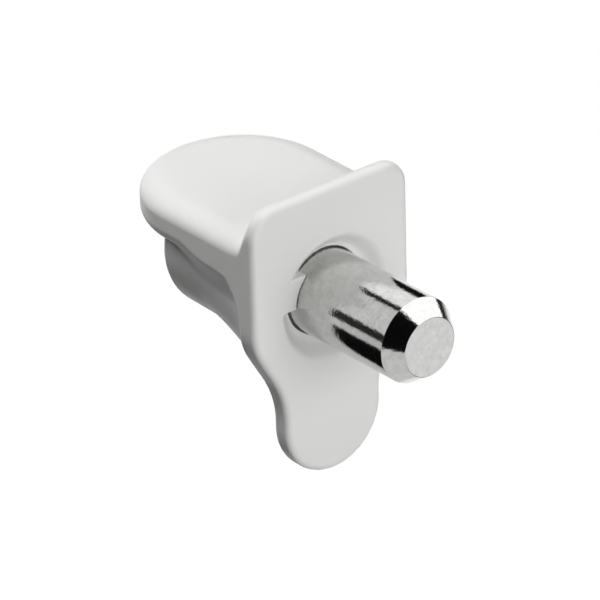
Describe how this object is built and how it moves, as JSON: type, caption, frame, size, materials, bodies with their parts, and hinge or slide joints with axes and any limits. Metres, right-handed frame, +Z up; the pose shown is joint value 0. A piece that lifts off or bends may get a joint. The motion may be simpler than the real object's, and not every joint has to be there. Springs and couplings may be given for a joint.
{
  "type": "shelf support pin",
  "caption": "White moulded plastic shelf support on a plated steel pin, with a round-ended shelf seat, an upright lip and a tapering tongue.",
  "frame": {"origin": "where the pin's axis leaves the plate's front face, which is the face that lies against the cabinet side", "axes": "+X along the pin, away from the plate and into the cabinet side; +Z up, with the shelf seat level; the seat and the boss reach towards -X"},
  "size_m": [0.0214, 0.011, 0.0175],
  "materials": {
    "moulded_plastic": "satin",
    "plated_steel": "polished"
  },
  "bodies": {
    "root": {"bracket": "moulded_plastic", "pin": "plated_steel"}
  },
  "joints": []
}
